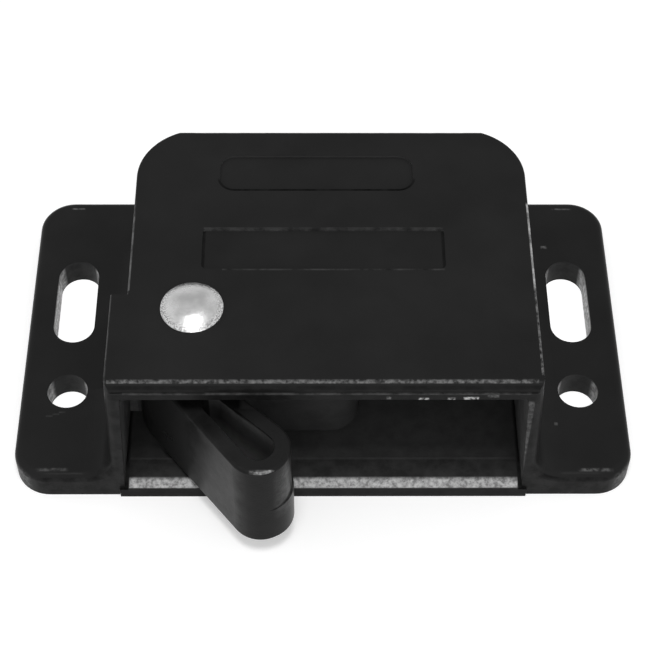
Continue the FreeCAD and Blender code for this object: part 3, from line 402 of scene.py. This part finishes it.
def panel_marks():
    """Painted light and shade at the panels on the roof: painted highlights on the far walls and
    edge lines, and painted shade on the near and side edges.
    """
    return [
        # painted highlight on the rear panel's far wall
        Mark((None, (18.0, None), (22.06, 22.33)), (0.0, 0.3, 0.01), (0.042, 0.05), 2.0, 0.4,
             beside=(REAR_PANEL, -0.03, 0.03)),
        # painted shade beside the rear panel's near edge
        Mark((None, (None, 17.2), (22.2, None)), (0.0, 0.5, 0.02), (0.002, 0.008), 2.0, 0.6,
             beside=(REAR_PANEL, 0.02, 0.26)),
        # painted highlights on the front panel's far edge and wall, and on its near edge
        Mark(((-13.8, 13.8), (9.75, 10.0), (22.0, 22.4)), 0.08, (0.016, 0.036), 1.6, 0.4),
        Mark((None, (9.0, None), (22.06, 22.33)), (0.0, 0.3, 0.01), (0.03, 0.075), 1.6, 0.4,
             beside=(FRONT_PANEL, -0.03, 0.03)),
        Mark(((-11.5, 13.8), (3.7, 3.88), (22.0, 22.4)), 0.06, (0.012, 0.04), 2.0, 0.4),
        # painted shade along the front panel's sides
        Mark(((-13.9, -13.65), (4.0, 9.6), (22.0, 22.2)), 0.06, (0.007, 0.011), 2.0, 0.6),
        Mark(((13.65, 13.9), (4.0, 9.6), (22.0, 22.2)), 0.06, (0.007, 0.011), 2.0, 0.6),
    ]


def flange_marks():
    """Two nicks, painted highlights along the front and back edges, painted reflections on the
    front corners' sides, and a light scratch as three short steps.
    """
    marks = [
        Mark(((28.2, 28.8), (22.3, 22.6), (3.0, 4.0)), 0.15, (0.02, 0.12), 0.4, 0.4),
        Mark(((27.65, 27.95), (-5.0, -4.7), (3.0, 4.0)), 0.1, (0.06, 0.08), 0.4, 0.4),
        # painted highlights along the front edges, then along the back edges
        Mark(((30.6, 33.2), (-11.4, -11.2), (3.3, 4.0)), (0.9, 0.2, 0.1), (0.02, 0.11), 0.5,
             0.4),
        Mark(((-32.9, -30.6), (-11.3, -11.1), (3.3, 4.0)), (0.9, 0.2, 0.1), (0.02, 0.08), 0.5,
             0.4),
        Mark(((30.4, 32.3), (28.85, 28.98), (3.3, 4.0)), (0.5, 0.1, 0.1), (0.02, 0.1), 0.6, 0.4),
        Mark(((-32.5, -31.2), (28.9, 29.05), (3.3, 4.0)), (0.3, 0.1, 0.1), (0.03, 0.12), 0.6,
             0.4),
        # painted reflections of the floor on the sides of the front corners
        Mark(((34.6, None), (None, -9.5), (0.6, 2.8)), (0.6, 2.5, 0.5), (0.012, 0.1), 0.5, 0.4),
        Mark(((None, -34.8), (None, -9.5), (0.6, 2.8)), (0.6, 2.5, 0.5), (0.012, 0.1), 0.5, 0.4),
    ]
    for step in range(3):
        x = -33.1 + 0.75 * step
        y = -3.7 + 0.27 * step
        marks.append(Mark(((x, x + 0.7), (y, y + 0.1), (3.3, 4.0)), 0.1, (0.025, 0.04), 0.8,
                          0.4))
    return marks


def hole_marks():
    """Painted reflections of the white floor on the walls of the holes and slots: back walls, both
    sides, and the slots' outer sides.
    """
    marks = []
    for side in (-1, 1):
        for back in HOLE_BACKS_Y:
            middle = side * HOLES_X
            marks.append(Mark(
                ((middle - 2.7, middle + 2.7), (back + 0.6, back + 2.7), (0.2, 3.5)),
                (0.1, 0.3, 0.05), (0.02, 0.035), 1.5, 0.4))
            for lean in (-1, 1):
                wall = middle + lean * HOLE_SIDE
                marks.append(Mark(
                    ((wall - 0.25, wall + 0.25), (back - 0.4, back + 1.2), (0.2, 3.4)),
                    (0.6, 0.5, 0.05), (0.2, 0.7), 0.8, 0.3))
        wall = side * (HOLES_X + SLOT_SIDE)
        marks.append(Mark(
            ((wall - 0.2, wall + 0.2), (10.5, 17.6), (0.2, 3.0)), (0.1, 0.8, 0.3),
            (0.15, 0.8), 0.6, 0.3))
    return marks


def chip_marks():
    """Chips of torn flash along the top of the mouth, with painted glints on them: middle, half
    width, height and the glint's tone.
    """
    chips = ((7.07, 0.1, 20.0, 0.25), (10.9, 0.45, 19.8, 0.5), (13.94, 0.3, 19.85, 0.35),
             (16.1, 0.7, 19.95, 0.7), (18.5, 0.5, 20.35, 0.12))
    return [Mark(((middle - half, middle + half), (None, -12.0), (height - 0.2, height + 0.15)),
                 (0.2, 0.1, 0.12), (0.02, tone), 0.4, 0.3)
            for middle, half, height, tone in chips]


def plate_marks():
    """Painted light on the base plate's floor, less at the mouth, painted shade on the sill's
    face, and a painted highlight on the sill's slope over some scuffing.
    """
    return [
        # painted light: the floor paled where shade falls deep inside, and less at the mouth
        Mark(((-22.9, 22.9), (-9.0, 22.0), (0.5, None)), 0.3, (0.055, 0.068), 2.0, 0.5),
        Mark((None, (-11.4, -9.0), (0.5, None)), 0.4, (0.022, 0.036), 2.0, 0.4),
        # painted shade on the sill's face
        Mark((None, (None, -12.4), (None, 1.6)), 0.05, (0.004, 0.01), 1.5, 0.4),
        # painted highlight on the sill's slope, over some real scuffing
        Mark(((-22.75, 22.8), (None, -11.75), (1.76, None)), (0.1, 0.5, 0.04), (0.18, 0.5), 0.5,
             0.3),
    ]


def lever_marks():
    """Painted light and shade on the lever's pocket, top, inner arm, finger sides and tip, and
    painted highlights on its right side and tip edge.
    """
    return [
        # the pocket paled with painted light, most where it is deep, and painted shade on the top
        # under the lip
        Mark(((-16.75, -12.7), (-20.6, -10.0), (5.0, 16.75)), 0.12, (0.06, 0.08), 2.0, 0.5,
             along_finger=True),
        Mark(((-16.75, -12.7), (-20.6, -10.0), (5.0, 9.0)), (0.12, 0.12, 4.0), (0.24, 0.28),
             2.0, 0.5, along_finger=True),
        Mark((None, (-13.5, None), (16.6, None)), (0.1, 2.5, 0.1), (0.006, 0.009), 2.0, 0.4,
             along_finger=True),
        # painted light on the inner arm, as pale as the floor behind it
        Mark(((-9.0, None), (-11.5, None), (0.0, None)), 0.5, (0.03, 0.037), 2.0, 0.5),
        # painted shade on the finger's left side and its tip
        Mark(((None, -17.9), (None, -11.5), (3.0, 16.2)), 1.2, (0.004, 0.02), 2.2, 0.3,
             along_finger=True),
        Mark(((-17.4, None), (None, -19.2), (None, 16.6)), (0.5, 0.8, 0.1), (0.0075, 0.0098),
             2.0, 0.3, along_finger=True),
        # painted highlights on the finger's right side and on the edge of its tip
        Mark(((-5.2, None), (-19.0, -17.0), (8.5, 15.0)), (0.5, 1.5, 1.8), (0.02, 0.06), 1.0,
             0.3),
        Mark(((-7.6, -5.8), (None, -19.85), (16.93, 17.12)), (0.6, 0.1, 0.04), (0.06, 0.3), 0.6,
             0.25),
    ]


make_camera()
add_lamp("key_lamp", *KEY_LAMP)
add_lamp("fill_lamp", *FILL_LAMP)
add_room()
make_floor()
bpy.context.scene.view_settings.view_transform = "Standard"

housing_marks = (inside_marks() + lip_and_roof_marks() + panel_marks() + flange_marks()
                 + hole_marks() + chip_marks())
housing_plastic = moulded_plastic("housing_plastic", 0.0165, 0.33, housing_marks)
plate_plastic = moulded_plastic("plate_plastic", 0.014, 0.28, plate_marks())
lever_plastic = moulded_plastic("lever_plastic", 0.016, 0.3, lever_marks())
guide_plastic = moulded_plastic("guide_plastic", 0.02, 0.5)
rivet_metal = scratched_aluminium("rivet_metal", 0.95, 0.25, rim=3.0)
steel = scratched_aluminium("steel", 0.6, 0.45)
for node_name, material in (
        ("housing", housing_plastic), ("base_plate", plate_plastic), ("lever", lever_plastic),
        ("pivot_rivet", rivet_metal), ("rivet_washer", steel), ("crank_pin", steel),
        ("spring_guide", guide_plastic), ("spring_seat", guide_plastic),
        ("toggle_spring", steel)):
    dress(node_name, material)
